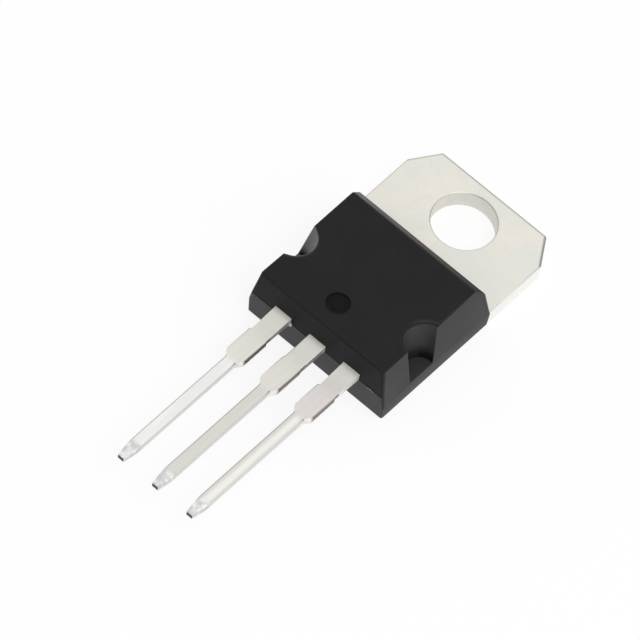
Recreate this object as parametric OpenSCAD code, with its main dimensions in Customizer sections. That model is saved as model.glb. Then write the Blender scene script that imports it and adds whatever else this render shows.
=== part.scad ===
// Linear voltage regulator in a three-lead, through-hole power package.
// It lies on its mounting face: +Z points out of the marked front, +Y to the free end of the tab.
// The origin is the axis of the mounting hole on the mounting face. All sizes are in millimetres.

/* [Moulded body] */
// Width at the side parting line, where the two mould halves met
body_w = 10.1; // [9.8:0.1:10.6]
// How far each side draws in from that line down to the mounting face
base_set = 0.05; // [0.02:0.01:0.2]
// How far each side draws in from that line up to the marked front
front_set = 0.47; // [0.2:0.01:0.7]
// Thickness from the mounting face to the marked front
body_t = 4.45; // [4.2:0.05:4.8]
// Length along the mounting face, tab side to lead side
body_l = 9.05; // [8.6:0.05:9.6]
// How far the lead side stands out at its parting line
lip = 0.17; // [0.05:0.01:0.3]
// How far the marked front stops short of that line
brow_set = 0.05; // [0.02:0.01:0.2]
// How far the tab side leans in below its slanted strip
back_lean = 0.45; // [0.2:0.01:0.6]
// Depth of the slanted strip, seen from the front
slant_l = 0.92; // [0.4:0.02:1.2]
// Height of the slanted strip
slant_h = 1.15; // [0.6:0.05:1.6]

/* [Side notches] */
// Radius of a notch at the marked front
notch_r = 1.3; // [1.0:0.05:1.5]
// Radius of a notch at its floor
notch_floor_r = 0.96; // [0.7:0.02:1.1]
// Distance from the edge of the marked front out to the notch's centre
notch_out = 0.32; // [0.1:0.01:0.6]
// Distance from the lead side's foot to the notch's centre
notch_from_leads = 3.15; // [2.6:0.05:4.0]
// Resin left between a notch's floor and the metal header
notch_film = 0.15; // [0.1:0.05:0.5]

/* [Ejector mark] */
// Diameter of the round mark in the front face
mark_d = 1.4; // [1.0:0.1:1.8]
// Depth of its sunken ring
mark_depth = 0.1; // [0.05:0.01:0.2]
// Width of its sunken ring
mark_ring = 0.3; // [0.2:0.05:0.4]
// Offset of the mark from the middle, towards the output lead
mark_x = -0.25; // [-0.6:0.05:0.6]
// Distance from the lead side's foot to the mark's centre
mark_from_leads = 1.5; // [1.2:0.1:2.0]

/* [Tab] */
// Thickness of the tab and of the header inside the body
tab_t = 1.27; // [1.15:0.01:1.4]
// Length of the bare tab, body to free end
tab_l = 6.2; // [6.0:0.1:7.0]
// Diameter of the mounting hole
hole_d = 3.85; // [3.5:0.05:4.0]
// Distance from the hole's centre to the tab's free end
hole_to_end = 2.65; // [2.6:0.05:3.0]
// Cut corner of the tab, across its width
corner_x = 1.1; // [0.5:0.1:1.6]
// Cut corner of the tab, along its length
corner_y = 1.75; // [0.8:0.05:2.2]

/* [Header inside the body] */
// Resin beside the header, at the side parting line
side_wall = 0.65; // [0.4:0.05:1.0]
// Resin between the header's end and the lead side's foot
header_margin = 1.95; // [1.8:0.05:2.4]
// Width of the step pressed into each long edge, under which the resin grips
lock_w = 0.3; // [0.1:0.05:0.6]
// Height of that step above the mounting face
lock_h = 0.6; // [0.3:0.05:0.8]
// Width of the groove that keeps moisture from the chip
groove_w = 0.5; // [0.3:0.05:0.8]
// Depth of the groove
groove_d = 0.25; // [0.1:0.05:0.4]
// Distance from the tab's shoulder to the groove
groove_from_tab = 1.4; // [1.0:0.1:2.0]

/* [Leads] */
// Distance between neighbouring leads
pitch = 2.54; // [2.4:0.02:2.7]
// Thickness of the lead metal
lead_t = 0.5; // [0.4:0.05:0.6]
// Height of the leads' underside above the mounting face
lead_z = 2.2; // [2.0:0.05:2.4]
// Length from the body's lip to the tips
lead_l = 13.45; // [12.5:0.05:14.5]
// Width of the slender part
lead_w = 0.76; // [0.6:0.02:0.88]
// Radius of the slender part's long edges
lead_edge_r = 0.12; // [0.05:0.01:0.18]
// Width next to the body
root_w = 1.2; // [1.0:0.05:1.4]
// Width where the tie bar was cut away
tie_w = 1.32; // [1.1:0.02:1.6]
// Distance from the body's lip to the cut stretch
tie_from_lip = 2.05; // [1.6:0.05:2.4]
// Length of the cut stretch
tie_l = 1.95; // [1.5:0.05:2.2]
// Length of the shoulder that narrows to the slender part
shoulder_l = 0.4; // [0.2:0.05:0.8]
// Length of the tapered tip
tip_l = 1.3; // [0.8:0.1:1.8]
// Width of the tip's end
tip_w = 0.44; // [0.3:0.02:0.5]
// Thickness of the tip's end
tip_t = 0.32; // [0.2:0.02:0.36]

/* [Bonding posts inside the body] */
// Width of a bonding post
post_w = 1.9; // [1.6:0.1:2.2]
// Length of a bonding post
post_l = 1.25; // [1.0:0.05:1.3]
// Gap between a post's end and the header's end, seen from the front
post_gap = 0.15; // [0.1:0.05:0.3]
// Radius of the nicks in a lead's neck that lock it in the resin
nick_r = 0.15; // [0.1:0.01:0.2]
// Middle radius of the bends that lift the middle lead off the header
bend_r = 0.45; // [0.35:0.05:0.55]
// Angle of those bends
bend_angle = 60; // [50:1:70]

/* [Chip] */
// Size of the silicon chip across the body
chip_w = 2.2; // [1.8:0.1:2.8]
// Size of the chip along the body
chip_l = 1.8; // [1.6:0.1:2.4]
// Thickness of the chip
chip_t = 0.3; // [0.2:0.05:0.4]
// Distance from the header's end to the chip's centre
chip_from_end = 2.6; // [2.0:0.1:3.2]
// Thickness of the solder under the chip
solder_t = 0.05; // [0.03:0.01:0.1]
// How far the solder spreads past the chip
solder_rim = 0.15; // [0.05:0.05:0.3]

/* [Bond wires] */
// Diameter of the bond wires
wire_d = 0.2; // [0.12:0.01:0.26]
// Length of a wire's flattened foot
foot_l = 0.5; // [0.3:0.05:0.6]
// Width of a wire's flattened foot
foot_w = 0.3; // [0.26:0.02:0.4]
// Thickness of a wire's flattened foot
foot_t = 0.15; // [0.14:0.01:0.2]
// Distance of the wire pads from the chip's edges
pad_inset = 0.45; // [0.4:0.05:0.6]
// Rise of the two long loops above a straight line
loop_rise = 0.9; // [0.6:0.05:1.1]
// Rise of the ground wire's loop above a straight line
ground_rise = 0.6; // [0.4:0.05:0.8]
// Distance from the chip's edge to the ground wire's foot on the header
ground_reach = 1.1; // [0.8:0.1:1.4]

/* [Hidden] */
$fn = 64;

// Widths that follow the body's: its mounting face, its marked front, the bare tab and the header
base_w = body_w - 2 * base_set;
front_w = body_w - 2 * front_set;
tab_w = base_w;
header_w = body_w - 2 * side_wall;

// Stations along the part, from the tab's free end to the lead tips
end_y = hole_to_end;
shoulder_y = end_y - tab_l;
foot_y = shoulder_y - body_l;
lip_y = foot_y - lip;
header_y = foot_y + header_margin;
tie_y = lip_y - tie_from_lip;
neck_y = tie_y - tie_l;
tip_y = lip_y - lead_l;

// Levels above the mounting face
lead_top = lead_z + lead_t;
split_z = lead_z + lead_t / 2;
chip_z = tab_t + solder_t;
chip_top = chip_z + chip_t;

// Middle of the chip, and the far end of the bonding posts
chip_y = header_y + chip_from_end;
post_y = header_y - post_gap;

// Centres of the strap's two bends, as (y, z), and the length of the slope between them
low_z = tab_t - lead_t / 2;
low_bend = [header_y, low_z + bend_r];
slope_l = (split_z - low_z - 2 * bend_r * (1 - cos(bend_angle))) / sin(bend_angle);
high_bend = low_bend - 2 * bend_r * [sin(bend_angle), cos(bend_angle)]
    + slope_l * [-cos(bend_angle), sin(bend_angle)];

// Length of the jog into the cut stretch, and how far cutters and joined pieces run past a face
tie_jog = 0.08;
past = 1;

// Facets of a bend and of a thin wire
bend_steps = 8;
wire_sides = 24;

// A flat outline drawn as (y, z) and pushed out to a width w across the part
module across(w) {
    translate([-w / 2, 0, 0])
        rotate([90, 0, 90])
            linear_extrude(w)
                children();
}

// A flat outline drawn as (x, z) and pushed from y0 to y1 along the part
module along(y0, y1) {
    translate([0, y1, 0])
        rotate([90, 0, 0])
            linear_extrude(y1 - y0)
                children();
}

// Outline across the body: widest at the side parting line, with draft above and below it
module body_section() {
    polygon([
        [-base_w / 2, 0],
        [base_w / 2, 0],
        [body_w / 2, tab_t],
        [front_w / 2, body_t],
        [-front_w / 2, body_t],
        [-body_w / 2, tab_t]
    ]);
}

// Outline along the body: upright beside the tab, a slanted strip above it, a lip at the leads
module body_profile() {
    slant_y = shoulder_y - back_lean;
    polygon([
        [foot_y, 0],
        [shoulder_y, 0],
        [shoulder_y, tab_t],
        [slant_y, body_t - slant_h],
        [slant_y - slant_l, body_t],
        [lip_y + brow_set, body_t],
        [lip_y, lead_z]
    ]);
}

// Cone-shaped notch left by a mould pin that held the header down, side is 1 or -1
module notch(side) {
    floor_z = tab_t + notch_film;
    slope = (notch_r - notch_floor_r) / (body_t - floor_z);
    translate([side * (front_w / 2 + notch_out), foot_y + notch_from_leads, floor_z])
        cylinder(h = body_t - floor_z + past, r1 = notch_floor_r, r2 = notch_r + slope * past);
}

// Sunken ring left by an ejector pin, with a level disc in its middle
module ejector_mark() {
    translate([mark_x, foot_y + mark_from_leads, body_t - mark_depth])
        difference() {
            cylinder(h = mark_depth + past, d = mark_d);
            translate([0, 0, -past])
                cylinder(h = mark_depth / 2 + past, d = mark_d - 2 * mark_ring);
        }
}

// The resin is cast round the metal and the chip, so it touches them all over
module molded_body() {
    color("#272628")
        difference() {
            intersection() {
                along(tip_y, end_y)
                    body_section();
                across(2 * body_w)
                    body_profile();
            }
            notch(1);
            notch(-1);
            ejector_mark();
            tab_and_ground_lead();
            input_lead();
            output_lead();
            silicon_chip();
            chip_solder();
            input_wire();
            output_wire();
            ground_wire();
        }
}

// Outline of a lead from above: root, cut stretch, shoulder, slender part and tapered tip
module lead_plan(from_y) {
    half = [
        [root_w / 2, from_y],
        [root_w / 2, tie_y],
        [tie_w / 2, tie_y - tie_jog],
        [tie_w / 2, neck_y],
        [lead_w / 2, neck_y - shoulder_l],
        [lead_w / 2, tip_y + tip_l],
        [tip_w / 2, tip_y]
    ];
    mirrored = [for (i = [len(half) - 1:-1:0]) [-half[i][0], half[i][1]]];
    polygon(concat(half, mirrored));
}

// Outline of a lead from the side, thinned on both faces at the tip
module lead_side(from_y) {
    polygon([
        [from_y, lead_z],
        [from_y, lead_top],
        [tip_y + tip_l, lead_top],
        [tip_y, split_z + tip_t / 2],
        [tip_y, split_z - tip_t / 2],
        [tip_y + tip_l, lead_z]
    ]);
}

// Rectangle with rounded corners, centred
module rounded_rectangle(w, h, r) {
    square([w - 2 * r, h], center = true);
    square([w, h - 2 * r], center = true);
    for (x = [-1, 1], y = [-1, 1])
        translate([x * (w / 2 - r), y * (h / 2 - r)])
            circle(r);
}

// The part of a lead outside the body, standing at x = 0 and starting at from_y
module lead_bar(from_y) {
    slender_y = neck_y - shoulder_l;
    intersection() {
        linear_extrude(lead_top + past)
            lead_plan(from_y);
        across(2 * tie_w)
            lead_side(from_y);
        union() {
            along(slender_y, from_y + past)
                translate([0, split_z])
                    square([2 * tie_w, 2 * lead_t], center = true);
            along(tip_y - past, slender_y + shoulder_l)
                translate([0, split_z])
                    rounded_rectangle(lead_w, lead_t, lead_edge_r);
        }
    }
}

// An outer lead: a widened post for the bond wire, a nicked neck, then the bar
module outer_lead() {
    nick_y = (lip_y + post_y - post_l) / 2;
    difference() {
        union() {
            lead_bar(post_y - post_l / 2);
            translate([-post_w / 2, post_y - post_l, lead_z])
                cube([post_w, post_l, lead_t]);
        }
        for (side = [-1, 1])
            translate([side * root_w / 2, nick_y, lead_z - past])
                cylinder(h = lead_t + 2 * past, r = nick_r);
    }
}

module input_lead() {
    color("#d9d8cf")
        translate([-pitch, 0, 0])
            outer_lead();
}

module output_lead() {
    color("#d9d8cf")
        translate([pitch, 0, 0])
            outer_lead();
}

// Points along an arc, from angle a0 to angle a1
function arc(centre, r, a0, a1) = [
    for (i = [0:bend_steps])
        let (a = a0 + (a1 - a0) * i / bend_steps)
            centre + r * [cos(a), sin(a)]
];

// Side view of the strap that climbs from the header's top face to the lead's level
module strap_profile() {
    inner_r = bend_r - lead_t / 2;
    outer_r = bend_r + lead_t / 2;
    low_turn = 270 - bend_angle;
    high_turn = 90 - bend_angle;
    polygon(concat(
        [[header_y + past, tab_t - lead_t]],
        arc(low_bend, outer_r, 270, low_turn),
        arc(high_bend, inner_r, high_turn, 90),
        [[lip_y, lead_z], [lip_y, lead_top]],
        arc(high_bend, outer_r, 90, high_turn),
        arc(low_bend, inner_r, low_turn, 270),
        [[header_y + past, tab_t]]
    ));
}

// Outline of the bare tab from above, with its two cut corners
module tab_plan() {
    w = tab_w / 2;
    polygon([
        [-w, shoulder_y],
        [w, shoulder_y],
        [w, end_y - corner_y],
        [w - corner_x, end_y],
        [-w + corner_x, end_y],
        [-w, end_y - corner_y]
    ]);
}

// Section of the header, stepped along both long edges
module header_section() {
    translate([-header_w / 2 + lock_w, 0])
        square([header_w - 2 * lock_w, tab_t]);
    translate([-header_w / 2, lock_h])
        square([header_w, tab_t - lock_h]);
}

// One stamping of two thicknesses: tab, header, strap and middle lead
module tab_and_ground_lead() {
    groove_y = shoulder_y - groove_from_tab;
    color("#dcd9cf")
        union() {
            difference() {
                union() {
                    linear_extrude(tab_t)
                        tab_plan();
                    along(header_y, shoulder_y + past)
                        header_section();
                }
                translate([0, 0, -past])
                    cylinder(h = tab_t + 2 * past, d = hole_d);
                across(header_w + past)
                    polygon([
                        [groove_y - groove_w / 2, tab_t],
                        [groove_y, tab_t - groove_d],
                        [groove_y + groove_w / 2, tab_t]
                    ]);
            }
            across(root_w)
                strap_profile();
            lead_bar(high_bend[0]);
        }
}

module chip_solder() {
    color("#9a9a98")
        translate([-chip_w / 2 - solder_rim, chip_y - chip_l / 2 - solder_rim, tab_t])
            cube([chip_w + 2 * solder_rim, chip_l + 2 * solder_rim, solder_t]);
}

module silicon_chip() {
    color("#5b6273")
        translate([-chip_w / 2, chip_y - chip_l / 2, chip_z])
            cube([chip_w, chip_l, chip_t]);
}

// A wire arched from one bond to another; each end is [x, y, level of the surface it is bonded to]
module bond_wire(start, stop, rise) {
    run = norm([stop[0] - start[0], stop[1] - start[1]]);
    turn = atan2(stop[1] - start[1], stop[0] - start[0]);
    climb = stop[2] - start[2];
    chord = norm([run, climb]);
    tilt = atan2(climb, run);
    arc_r = (chord * chord / 4 + rise * rise) / (2 * rise);
    spread = asin(chord / (2 * arc_r));
    drop = arc_r - rise;
    centre = [run / 2 + drop * sin(tilt), start[2] + foot_t + climb / 2 - drop * cos(tilt)];
    translate([start[0], start[1], 0])
        rotate([0, 0, turn]) {
            translate([centre[0], 0, centre[1]])
                rotate([90, 0, 0])
                    rotate([0, 0, 90 + tilt - spread])
                        rotate_extrude(angle = 2 * spread)
                            translate([arc_r, 0])
                                circle(d = wire_d, $fn = wire_sides);
            for (end = [[0, start[2]], [run, stop[2]]])
                translate([end[0] - foot_l / 2, -foot_w / 2, end[1]])
                    cube([foot_l, foot_w, foot_t]);
        }
}

module input_wire() {
    color("#c8c8cc")
        bond_wire(
            [pad_inset - chip_w / 2, chip_y - chip_l / 2 + pad_inset, chip_top],
            [-pitch, post_y - post_l / 2, lead_top],
            loop_rise
        );
}

module output_wire() {
    color("#c8c8cc")
        bond_wire(
            [chip_w / 2 - pad_inset, chip_y - chip_l / 2 + pad_inset, chip_top],
            [pitch, post_y - post_l / 2, lead_top],
            loop_rise
        );
}

module ground_wire() {
    color("#c8c8cc")
        bond_wire(
            [chip_w / 2 - pad_inset, chip_y + chip_l / 2 - pad_inset, chip_top],
            [chip_w / 2 + ground_reach, chip_y + chip_l / 2 - pad_inset, tab_t],
            ground_rise
        );
}

molded_body();
tab_and_ground_lead();
input_lead();
output_lead();
silicon_chip();
chip_solder();
input_wire();
output_wire();
ground_wire();
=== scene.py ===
import math

import bmesh
import bpy
from mathutils import Matrix, Vector


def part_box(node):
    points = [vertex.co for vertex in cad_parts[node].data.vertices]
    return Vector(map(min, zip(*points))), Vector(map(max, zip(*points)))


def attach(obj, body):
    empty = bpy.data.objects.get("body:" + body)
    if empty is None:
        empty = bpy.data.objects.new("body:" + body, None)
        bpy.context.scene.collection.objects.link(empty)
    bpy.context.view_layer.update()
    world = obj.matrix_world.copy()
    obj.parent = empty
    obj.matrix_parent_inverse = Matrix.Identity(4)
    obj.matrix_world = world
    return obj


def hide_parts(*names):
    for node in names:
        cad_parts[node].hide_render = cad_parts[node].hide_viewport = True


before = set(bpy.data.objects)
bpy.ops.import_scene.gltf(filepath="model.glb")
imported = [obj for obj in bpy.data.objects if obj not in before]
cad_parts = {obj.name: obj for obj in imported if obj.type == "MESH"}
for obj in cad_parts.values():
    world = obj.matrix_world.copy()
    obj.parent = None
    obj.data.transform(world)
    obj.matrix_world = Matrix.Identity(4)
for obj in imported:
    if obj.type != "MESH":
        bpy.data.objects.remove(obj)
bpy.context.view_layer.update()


# Lead frame: the bare tab, the header under the resin and the middle lead are one stamping of copper
# strip in two thicknesses, plated with matte tin. The die rolls its upper edges over and leaves the
# lower ones nearly sharp. The tie bars and the leads' ends are sheared off last, through the tin.
mm = 0.001
resin_low, resin_high = (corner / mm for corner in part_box("molded_body"))
lead_low, lead_high = (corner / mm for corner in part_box("input_lead"))
tab_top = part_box("chip_solder")[0].z / mm
lead_under, lead_top = lead_low.z, lead_high.z

# The hole, and the stations from the tab's free end to the leads' ends, in millimetres
hole_r = 1.925
corner_y = 0.9
shoulder_y = resin_high.y
lip_y = resin_low.y
foot_y = lip_y + 0.17
cut_y = lip_y - 2.05
cut_end_y = cut_y - 1.95
slender_y = cut_end_y - 0.4
tip_y = lead_low.y
taper_y = tip_y + 1.3

# How close to a level or a station a corner counts as on it, and how far two faces may turn away
# from each other before their edge is rounded, and before it is shaded as an edge
near = 0.01
round_angle = math.radians(20)
smooth_angle = math.radians(38)


class Wire:
    """A socket in a material's nodes. Arithmetic on it adds Math nodes, and node() any other."""

    def __init__(self, tree, socket=None):
        self.tree, self.socket = tree, socket

    def node(self, kind, settings, inputs, output=0):
        made = self.tree.nodes.new(kind)
        for name, value in settings.items():
            setattr(made, name, value)
        for name, value in inputs.items():
            if isinstance(value, Wire):
                self.tree.links.new(value.socket, made.inputs[name])
            else:
                made.inputs[name].default_value = value
        return Wire(self.tree, made.outputs[output])

    def math(self, operation, *others):
        inputs = dict(enumerate((self, *others)))
        return self.node("ShaderNodeMath", {"operation": operation}, inputs)

    def __add__(self, other):
        return self.math("ADD", other)

    def __mul__(self, other):
        return self.math("MULTIPLY", other)

    def __sub__(self, other):
        return self.math("SUBTRACT", other)

    def __rsub__(self, other):
        return self.node("ShaderNodeMath", {"operation": "SUBTRACT"}, {0: other, 1: self})

    def __abs__(self):
        return self.math("ABSOLUTE")

    __radd__ = __add__
    __rmul__ = __mul__

    def rise(self, start, end):
        """0 up to start and 1 from end on, with a soft step between; start may be the higher."""
        return self.node(
            "ShaderNodeMapRange",
            {"interpolation_type": "SMOOTHSTEP"},
            {"Value": self, "From Min": start, "From Max": end},
        )

    def between(self, first, second):
        """The first colour where this mask is 0, the second where it is 1."""
        return self.node("ShaderNodeMix", {"data_type": "RGBA"}, {0: self, 6: first, 7: second}, 2)

    def grain(self, per_mm, detail=2.0, stretch=(1, 1, 1)):
        """Noise from 0 to 1 at this place, with so many cells to the millimetre."""
        place = self.node("ShaderNodeVectorMath", {"operation": "MULTIPLY"}, {0: self, 1: stretch})
        inputs = {"Vector": place, "Scale": per_mm, "Detail": detail}
        return self.node("ShaderNodeTexNoise", {}, inputs)

    def parts(self):
        """The x, y and z of this vector."""
        split = self.node("ShaderNodeSeparateXYZ", {}, {0: self}).socket.node
        return [Wire(self.tree, split.outputs[i]) for i in range(3)]

    def facing(self):
        """How far the surface faces across the part, along it and up, from -1 to 1."""
        return self.node("ShaderNodeNewGeometry", {}, {}, "True Normal").parts()


def new_finish(name, **constants):
    """A material with these values on its shader, and the place of a point on it in millimetres."""
    material = bpy.data.materials.new(name)
    material.use_nodes = True
    shader = material.node_tree.nodes["Principled BSDF"]
    for socket, value in constants.items():
        shader.inputs[socket.replace("_", " ")].default_value = value
    start = Wire(material.node_tree)
    place = start.node("ShaderNodeTexCoord", {}, {}, "Object")
    in_mm = {0: place, "Scale": 1 / mm}
    return material, place.node("ShaderNodeVectorMath", {"operation": "SCALE"}, in_mm)


def paint(colour, *layers):
    """Lays colours over a first one; a layer is a mask and the colour that shows where it is 1."""
    for mask, layer in layers:
        colour = mask.between(colour, layer)
    return colour


def coat(material, roughness, colour, metallic=None, height=None, depth=0.0):
    """Joins what changes over the surface to the shader; a height is a bump so deep in metres."""
    shader = material.node_tree.nodes["Principled BSDF"]
    links = material.node_tree.links
    links.new(roughness.socket, shader.inputs["Roughness"])
    links.new(colour.socket, shader.inputs["Base Color"])
    if metallic:
        links.new(metallic.socket, shader.inputs["Metallic"])
    if height:
        bump = height.node("ShaderNodeBump", {}, {"Height": height, "Distance": depth})
        links.new(bump.socket, shader.inputs["Normal"])


def tin_finish(name):
    """Matte tin, with bare copper where a tie bar or a lead's end was sheared through it."""
    material, place = new_finish(name)
    x, y, z = place.parts()
    across, along, up = place.facing()

    # Where on the stamping a point is
    lead = y.rise(foot_y, foot_y - 0.6)
    slender = lead * y.rise(slender_y + 0.17, slender_y - 0.43)
    root = lead * y.rise(cut_y + 0.22, cut_y + 1.52)
    near_resin = lead * y.rise(cut_y - 0.08, cut_y + 0.02)
    input_side = x.rise(-1.0, -2.0)
    hole_wall = abs(x).rise(hole_r + 0.375, hole_r + 0.175)
    hole_wall = hole_wall * y.rise(shoulder_y - 0.15, shoulder_y - 0.05)
    side = abs(across).rise(0.6, 0.9)

    # Plating: cream to greenish clouds with rosy blotches, and leads that differ a little in tone;
    # painted light and shade over it
    cloud = place.grain(0.45, 3.0)
    blotch = place.grain(1.6, 4.0)
    speck = place.grain(14.0, 3.0)
    brushed = place.grain(6.0, 4.0, (3, 0.25, 1))
    streak = place.grain(5.0, 3.0, (1, 0.06, 1))
    warmth = (x + 2.0 * place.grain(2.2, 3.0, (1, 0.12, 1))).rise(0.5, 3.0)
    # Painted shade: the output lead's slender stretch is darker towards its edges and paler in its
    # middle, as rounded edges are shaded; the middle lead's is all the darker tone
    output_lead_middle = abs(x - 2.62).rise(0.33, 0.03)
    slender_tone_and_edge_shade = output_lead_middle.between((0.68, 0.66, 0.62, 1), (0.88, 0.87, 0.83, 1))
    input_drawn = lead * input_side * y.rise(slender_y + 0.27, slender_y - 0.33)
    plating_with_painted_light = paint(
        cloud.rise(0.35, 0.65).between((0.80, 0.765, 0.69, 1), (0.74, 0.745, 0.69, 1)),
        (0.5 * blotch.rise(0.45, 0.75), (0.76, 0.69, 0.65, 1)),
        (lead, warmth.between((0.74, 0.725, 0.665, 1), (0.71, 0.675, 0.655, 1))),
        (slender * (1 - input_side), slender_tone_and_edge_shade),
        (input_drawn, (0.84, 0.84, 0.82, 1)),
        (0.15 * lead * streak.rise(0.35, 0.6), (0.55, 0.54, 0.51, 1)),
        (0.3 * speck.rise(0.6, 0.78), (0.55, 0.54, 0.50, 1)),
        # Painted light: the side faces paler, as the white sheet mirrored in them, but for the hole's
        # wall and the slender stretches
        (side * (1 - hole_wall), (0.93, 0.92, 0.89, 1)),
        (side * slender, (0.74, 0.735, 0.71, 1)),
        # Painted light: paler roots, where the leads leave the resin
        (0.8 * root, (0.86, 0.845, 0.785, 1)),
        # Painted shade: dark side faces on the input and middle leads beside the resin
        (side * near_resin * x.rise(1.6, 1.2), (0.28, 0.275, 0.265, 1)),
    )

    # Rims: painted shade darkens the rounded edges, most of all on the tab, and a painted highlight
    # brightens them beside the resin
    rim = up.rise(0.12, 0.3) * up.rise(0.985, 0.945)
    tab_side = y.rise(shoulder_y - 0.05, shoulder_y + 0.05) * across.rise(0.2, 0.5)
    rim_shade = 0.5 + 0.4 * (across + along).rise(0.1, 0.6) - 0.6 * tab_side * along.rise(0.4, 0.1)
    rim_shade = rim_shade * (1 - 0.75 * slender * across.rise(-0.1, 0.1))
    rim_shade = rim_shade * (1 - root * across.rise(-0.2, 0.2))

    # Ends: the tapered tips are smeared, and the sheared faces show dulled copper
    tip = (y + 0.6 * blotch).rise(taper_y + 0.42, taper_y + 0.02)
    smear = place.grain(3.2, 3.0).rise(0.35, 0.65)
    torn = place.grain(5.0, 3.0)
    tie_cut = side * (y - 0.5 * torn).rise(cut_y + 0.17, cut_y + 0.02)
    tie_cut = tie_cut * y.rise(cut_end_y - 0.08, cut_end_y + 0.02)
    tie_cut = tie_cut * (z - 0.1 * torn).rise(lead_under + 0.05, lead_under + 0.1)
    end_cut = along.rise(-0.8, -0.95) * y.rise(tip_y + 0.22, tip_y + 0.12)
    cut = tie_cut.math("MAXIMUM", end_cut)
    copper = paint(
        x.rise(-2.0, 0.0).between((0.06, 0.055, 0.052, 1), (0.24, 0.2, 0.18, 1)),
        (end_cut, (0.06, 0.052, 0.046, 1)),
        (0.3 * place.grain(9.0, 4.0).rise(0.35, 0.7), (0.30, 0.25, 0.22, 1)),
    )
    colour = paint(
        plating_with_painted_light,
        # Painted shade on the rounded edges
        (rim * rim_shade, (0.2, 0.19, 0.18, 1)),
        # Painted highlight: bright rims where the leads leave the resin
        (rim * near_resin * across.rise(0.0, 0.3), (1, 1, 0.97, 1)),
        (0.85 * tip, smear.between((0.55, 0.55, 0.545, 1), (0.8, 0.8, 0.79, 1))),
        (cut, copper),
    )
    roughness = 0.38 + 0.16 * blotch + 0.08 * speck + 0.12 * cut
    height = 0.5 * speck + 0.35 * brushed + 0.6 * blotch
    height = height + 2.5 * cut * place.grain(12.0, 5.0) + 4.0 * tip * place.grain(4.0, 3.0)
    coat(material, roughness, colour, 0.6 - 0.5 * root, height, 4e-6)
    return material


def skin_of(node, name):
    """A copy of a node's skin, merged and with each flat face in one piece, left in edit mode."""
    piece = bpy.data.objects.new(name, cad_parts[node].data.copy())
    bpy.context.scene.collection.objects.link(piece)
    bpy.ops.object.select_all(action="DESELECT")
    piece.select_set(True)
    bpy.context.view_layer.objects.active = piece
    bpy.ops.object.mode_set(mode="EDIT")
    bpy.ops.mesh.select_all(action="SELECT")
    bpy.ops.mesh.customdata_custom_splitnormals_clear()
    bpy.ops.mesh.remove_doubles(threshold=1e-4 * mm)
    bpy.ops.mesh.dissolve_limited(angle_limit=math.radians(0.5))
    return piece


def round_edges(piece, *rules):
    """Rounds each sharp edge by the first rule that takes both its ends.

    A rule is a radius in millimetres and a test of an end's x, y and z.
    """
    widest = max(radius for radius, takes in rules)
    shape = bmesh.from_edit_mesh(piece.data)
    weight = shape.edges.layers.float.new("bevel_weight_edge")
    for edge in shape.edges:
        if edge.calc_face_angle(0) < round_angle:
            continue
        ends = [corner.co / mm for corner in edge.verts]
        for radius, takes in rules:
            if all(takes(*end) for end in ends):
                edge[weight] = radius / widest
                break
    bmesh.update_edit_mesh(piece.data)
    bpy.ops.object.mode_set(mode="OBJECT")
    bpy.ops.object.shade_smooth_by_angle(angle=smooth_angle)
    bevel = piece.modifiers.new("edges", "BEVEL")
    bevel.limit_method, bevel.width, bevel.segments = "WEIGHT", widest * mm, 3
    bevel.use_clamp_overlap, bevel.loop_slide = False, False
    bpy.ops.object.modifier_apply(modifier=bevel.name)
    weighted = piece.modifiers.new("shading", "WEIGHTED_NORMAL")
    weighted.keep_sharp = True
    bpy.ops.object.modifier_apply(modifier=weighted.name)


def lead_edges(inside):
    """The rules for a lead: its end, and its wide stretch to so many millimetres inside the resin."""
    def wide(y):
        return cut_end_y - near < y < lip_y + inside

    return (
        (0.03, lambda x, y, z: y < tip_y + near),
        (0.06, lambda x, y, z: wide(y) and z > lead_top - 0.15),
        (0.03, lambda x, y, z: wide(y)),
    )


def far_end(x, y):
    """Whether a corner is on the tab's outline from its cut corners on, and not on the hole."""
    return y > corner_y - 0.05 and math.hypot(x, y) > hole_r + 0.275


def dress(piece, finish, slot, *nodes):
    """Gives a piece its finish and lets it stand for these nodes; the slot is not used."""
    piece.data.materials.clear()
    piece.data.materials.append(finish)
    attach(piece, "root")
    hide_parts(*nodes)


tin = tin_finish("matte_tin")
lead_frame = skin_of("tab_and_ground_lead", "lead_frame")
round_edges(
    lead_frame,
    (0.16, lambda x, y, z: far_end(x, y) and abs(z - tab_top) < near),
    (0.07, lambda x, y, z: y > shoulder_y - near and abs(z - tab_top) < near),
    (0.03, lambda x, y, z: y > shoulder_y - near and z < near),
    (0.05, lambda x, y, z: far_end(x, y)),
    *lead_edges(inside=0.8),
)
dress(lead_frame, tin, "tinned_frame", "tab_and_ground_lead")


# Outer leads: the input and output leads come from the thin edge of the same strip, so they have the
# middle lead's outline and plating. Only the resin holds them.
for node in ("input_lead", "output_lead"):
    lead = skin_of(node, "plated_" + node)
    round_edges(lead, *lead_edges(inside=0.1))
    dress(lead, tin, "tinned_leads", node)


# Chip and solder: a sawn rectangle of polished silicon on a thin pad of lead-rich solder. Both are
# sealed in the resin, and nothing of them shows.
silicon, place = new_finish("silicon", Metallic=0.4)
cells = place.grain(5.0, 0.0).rise(0.45, 0.55)
coat(silicon, 0.12 + 0.1 * cells, cells.between((0.10, 0.12, 0.17, 1), (0.16, 0.17, 0.22, 1)))
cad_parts["silicon_chip"].data.materials[0] = silicon

solder, place = new_finish("solder", Metallic=1.0)
lumps = place.grain(3.0, 3.0)
grey = lumps.between((0.27, 0.27, 0.26, 1), (0.4, 0.4, 0.39, 1))
coat(solder, 0.35 + 0.25 * lumps, grey, height=lumps, depth=1e-5)
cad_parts["chip_solder"].data.materials[0] = solder


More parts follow.
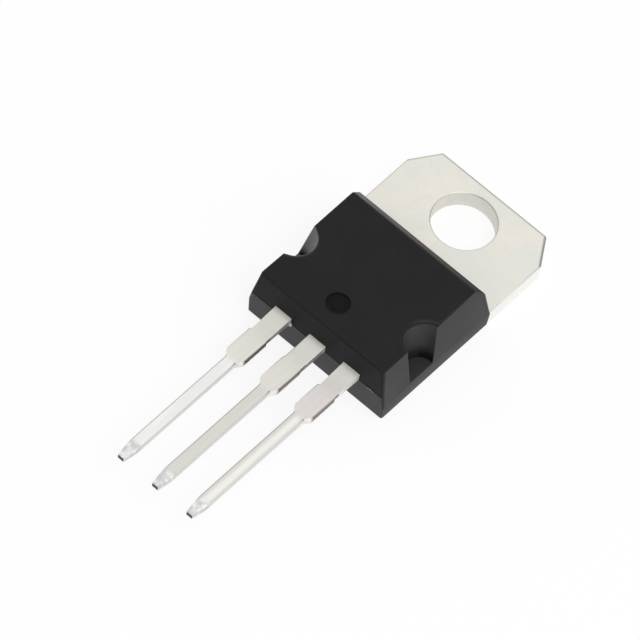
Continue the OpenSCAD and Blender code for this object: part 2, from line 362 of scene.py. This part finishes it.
# Bond wires: drawn aluminium, pressed flat at both ends by the bonding tool. They too are sealed in,
# two of them between the chip and the outer leads and one down to the header.
aluminium, place = new_finish("aluminium", Metallic=1.0)
die_lines = place.grain(12.0, 2.0)
grey = die_lines.between((0.55, 0.55, 0.57, 1), (0.64, 0.64, 0.66, 1))
coat(aluminium, 0.25 + 0.15 * die_lines, grey, height=die_lines, depth=1e-6)
for node in ("input_wire", "output_wire", "ground_wire"):
    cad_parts[node].data.materials[0] = aluminium


# Body: black epoxy resin with silica filler, moulded round the metal in two halves. The mould is
# spark eroded, which gives the faces a fine matte grain, and the edges come out slightly rounded.
# Two pins leave the notches, an ejector pin leaves the round mark, and the front is bare.
front_z = resin_high.z
pin_x, pin_y = 4.9, foot_y + 3.15
pin_floor_r, pin_front_r = 0.96, 1.3
notch_floor = tab_top + 0.15
mark_x, mark_y, mark_r = -0.25, foot_y + 1.5, 0.7


def reach(x, y):
    """How far x and y lead from the middle together."""
    return (x * x + y * y).math("SQRT")


def resin_finish(name):
    """Black resin with painted light: paler on the sides, the lower front, the slanted strip and the
    notches' walls; dull on the mark and the seam.
    """
    material, place = new_finish(name, Specular_IOR_Level=0.2)
    x, y, z = place.parts()
    across, along, up = place.facing()
    grit = place.grain(24.0, 3.0)
    pores = place.grain(9.0, 2.0)
    flow = place.grain(0.5, 3.0)

    # The lead side above and below the parting line, and the slanted strip at the tab
    lead_side = along.rise(-0.7, -0.9) * y.rise(foot_y + 0.3, foot_y + 0.2)
    lower = z.rise(lead_under + 0.02, lead_under - 0.02)
    seam = lead_side * z.rise(lead_under, lead_under + 0.02)
    seam = seam * z.rise(lead_under + 0.1, lead_under + 0.07)
    slant = along.rise(0.5, 0.7) * up.rise(0.3, 0.5)

    # The cone that a pin left, to just outside its wall, and the part of it painted paler as painted
    # light, far paler on the input side
    widening = (pin_front_r - pin_floor_r) / (front_z - notch_floor)
    cone_r = pin_floor_r + 0.039 + widening * (z - notch_floor)
    notch = (cone_r - reach(abs(x) - pin_x, y - pin_y)).rise(0.0, 0.03)
    notch = notch * z.rise(front_z - 0.05, front_z - 0.1)
    notch = notch * z.rise(notch_floor - 0.04, notch_floor - 0.02)
    lit = z.rise(notch_floor + 0.18, notch_floor + 1.28).math("MAXIMUM", up.rise(0.7, 0.9))
    painted_notch_light = x.rise(-1.0, 1.0).between((0.12, 0.12, 0.12, 1), (0.032, 0.031, 0.031, 1))

    # The ejector mark, out to its rim
    mark = reach(x - mark_x, y - mark_y).rise(mark_r + 0.048, mark_r - 0.007)
    mark = mark * z.rise(front_z - 0.25, front_z - 0.15)

    colour = paint(
        flow.rise(0.35, 0.7).between((0.0042, 0.0042, 0.0048, 1), (0.007, 0.0062, 0.0062, 1)),
        (0.5 * grit.rise(0.6, 0.75), (0.018, 0.017, 0.017, 1)),
        # Painted light: the lead side paler below the parting line
        (lead_side * lower, (0.034, 0.033, 0.034, 1)),
        # Painted light: the side faces paler than the top
        (abs(across).rise(0.6, 0.9), (0.016, 0.015, 0.016, 1)),
        # Painted light: pale notch walls, as the white sheet mirrored in them
        (notch * lit, painted_notch_light),
        # Painted light: the slanted strip paler, as lit from behind
        (slant, (0.03, 0.029, 0.029, 1)),
    )
    roughness = 0.34 + 0.1 * flow + 0.1 * grit + 0.2 * lead_side * (1 - lower)
    coat(material, roughness, colour, height=grit + 0.6 * pores, depth=5e-6)

    # Dull resin without any gloss, mixed in; on the slant it grows towards the output side, a painted
    # shade that darkens the strip that way
    dull = place.node("ShaderNodeBsdfDiffuse", {}, {"Color": (0.006, 0.006, 0.006, 1)})
    matte = (0.6 * mark).math("MAXIMUM", 0.8 * seam)
    matte = matte.math("MAXIMUM", 0.072 * slant * (x + 4.4))
    nodes = material.node_tree.nodes
    glossy = Wire(material.node_tree, nodes["Principled BSDF"].outputs[0])
    mixed = place.node("ShaderNodeMixShader", {}, {0: matte, 1: glossy, 2: dull})
    material.node_tree.links.new(mixed.socket, nodes["Material Output"].inputs["Surface"])
    return material


def near_mark(x, y, z):
    """Whether a corner is on the ejector mark's ring or inside it."""
    return math.hypot(x - mark_x, y - mark_y) < mark_r + 0.2 and z > front_z - 0.15


def on_notch(x, y):
    """Whether a corner is on the wall of either notch."""
    return pin_floor_r - 0.06 < math.hypot(abs(x) - pin_x, y - pin_y) < pin_front_r + 0.05


def on_back(y, z, above):
    """Whether a corner is on the back over the tab or on its slanted strip, above this level."""
    return y > shoulder_y - 1.45 and z > above


side_x = 4.5
rim_z = front_z - 0.05
slant_foot_z = front_z - 1.25
body = skin_of("molded_body", "resin_body")
round_edges(
    body,
    (0.02, near_mark),
    (0.25, lambda x, y, z: on_notch(x, y) and z > rim_z),
    (0.0, lambda x, y, z: on_notch(x, y) and abs(x) > side_x),
    (0.16, lambda x, y, z: abs(x) > side_x and y < lip_y + 0.2),
    (0.12, lambda x, y, z: abs(x) > side_x and on_back(y, z, tab_top - near)),
    (0.07, lambda x, y, z: z > rim_z or on_back(y, z, slant_foot_z)),
    (0.04, lambda x, y, z: abs(x) > side_x - 0.05 and z > tab_top - near),
)
dress(body, resin_finish("black_epoxy"), "molding_resin", "molded_body")


# Flash: a crumb beside the input lead and a sliver along the parting line, of resin that crept between
# the mould's halves. They are paler than the body, the crumb far paler than the sliver.
crumbs = []
for centre, size in (
    ((-1.88, lip_y - 0.06, lead_under + 0.02), (0.14, 0.16, 0.16)),
    ((4.0, lip_y - 0.01, lead_under), (0.55, 0.07, 0.05)),
):
    bpy.ops.object.select_all(action="DESELECT")
    bpy.ops.mesh.primitive_cube_add(size=1, location=Vector(centre) * mm, scale=Vector(size) * mm)
    bpy.ops.object.transform_apply(location=True, rotation=False, scale=True)
    crumbs.append(bpy.context.object)
    bpy.ops.object.mode_set(mode="EDIT")
    bpy.ops.mesh.select_all(action="SELECT")
    bpy.ops.mesh.subdivide(number_cuts=3)
    bpy.ops.mesh.vertices_smooth(factor=0.5, repeat=2)
    bpy.ops.transform.vertex_random(offset=0.012 * mm, seed=4)
    bpy.ops.object.mode_set(mode="OBJECT")
    bpy.ops.object.shade_smooth_by_angle(angle=smooth_angle)
crumbs[0].select_set(True)
bpy.ops.object.join()
flash = bpy.context.object
flash.name = "mould_flash"
thin_resin, place = new_finish("thin_resin", Specular_IOR_Level=0.3)
beside_input = place.parts()[0].rise(1.0, -1.0)
paleness = 0.3 * place.grain(10.0).rise(0.3, 0.7) + 0.7 * beside_input
grey = paleness.between((0.09, 0.085, 0.09, 1), (0.6, 0.6, 0.56, 1))
coat(thin_resin, 0.4 + 0.2 * paleness, grey)
dress(flash, thin_resin, "molding_resin")


# Stage: the part lies on a white sheet in a white room, with one broad soft lamp. The sheet and the
# room look whiter to the camera and in the gloss than the light that they throw on the part.
middle = Vector((0, -11, 0)) * mm


def looked_at(tree, *rays):
    """1 on these kinds of ray, by which a white is seen or mirrored, 0 on those that light the part."""
    kinds = [Wire(tree).node("ShaderNodeLightPath", {}, {}, ray) for ray in rays]
    return sum(kinds).math("MINIMUM", 1.0)


bpy.ops.object.select_all(action="DESELECT")
bpy.ops.mesh.primitive_plane_add(size=1200 * mm, location=middle - Vector((0, 0, 0.02)) * mm)
floor = bpy.context.object
floor.name = "floor"
paper = bpy.data.materials.new("white_paper")
paper.use_nodes = True
nodes = paper.node_tree.nodes
nodes.remove(nodes["Principled BSDF"])
share = 0.85 * looked_at(paper.node_tree, "Is Camera Ray", "Is Glossy Ray", "Is Transmission Ray")
sheet = share.node("ShaderNodeBsdfDiffuse", {}, {"Color": (0.97, 0.97, 0.97, 1)})
white = share.node("ShaderNodeEmission", {}, {"Color": (1, 1, 1, 1), "Strength": 1.0})
mixed = share.node("ShaderNodeMixShader", {}, {0: share, 1: sheet, 2: white})
paper.node_tree.links.new(mixed.socket, nodes["Material Output"].inputs["Surface"])
floor.data.materials.append(paper)

room = bpy.data.worlds.new("white_room")
bpy.context.scene.world = room
room.use_nodes = True
backdrop = room.node_tree.nodes["Background"]
backdrop.inputs["Color"].default_value = (1, 1, 1, 1)
strength = 0.7 + 0.3 * looked_at(room.node_tree, "Is Camera Ray", "Is Glossy Ray")
room.node_tree.links.new(strength.socket, backdrop.inputs["Strength"])

lamp_data = bpy.data.lights.new("soft_lamp", "AREA")
lamp_data.shape, lamp_data.size, lamp_data.energy = "DISK", 250 * mm, 0.38
lamp = bpy.data.objects.new("soft_lamp", lamp_data)
bpy.context.scene.collection.objects.link(lamp)
lamp.location = Vector((140, -60, 280)) * mm
lamp.rotation_euler = (middle - lamp.location).to_track_quat("-Z", "Y").to_euler()


# Camera: a long lens, looking down on the front from the output lead's side. Its place is so many
# millimetres back from the part's middle, and a little aside and above to frame it.
azimuth, elevation, roll = (math.radians(angle) for angle in (30.58, 56.47, 13.14))
distance, aside, above = 505.7, -0.943, 0.474
aim = Vector((0, -11, 2))
back = Vector((
    math.sin(azimuth) * math.cos(elevation),
    -math.cos(azimuth) * math.cos(elevation),
    math.sin(elevation),
))
level = Vector((math.cos(azimuth), math.sin(azimuth), 0))
steep = back.cross(level)
right = math.cos(roll) * level + math.sin(roll) * steep
up = math.cos(roll) * steep - math.sin(roll) * level
camera_data = bpy.data.cameras.new("camera")
camera_data.lens, camera_data.clip_start, camera_data.clip_end = 512.72, 0.01, 50
camera = bpy.data.objects.new("camera", camera_data)
bpy.context.scene.collection.objects.link(camera)
stand = Matrix.Translation((aim + distance * back + aside * right + above * up) * mm)
camera.matrix_world = stand @ Matrix((right, up, back)).transposed().to_4x4()
bpy.context.scene.camera = camera
bpy.context.scene.view_settings.view_transform = "Standard"
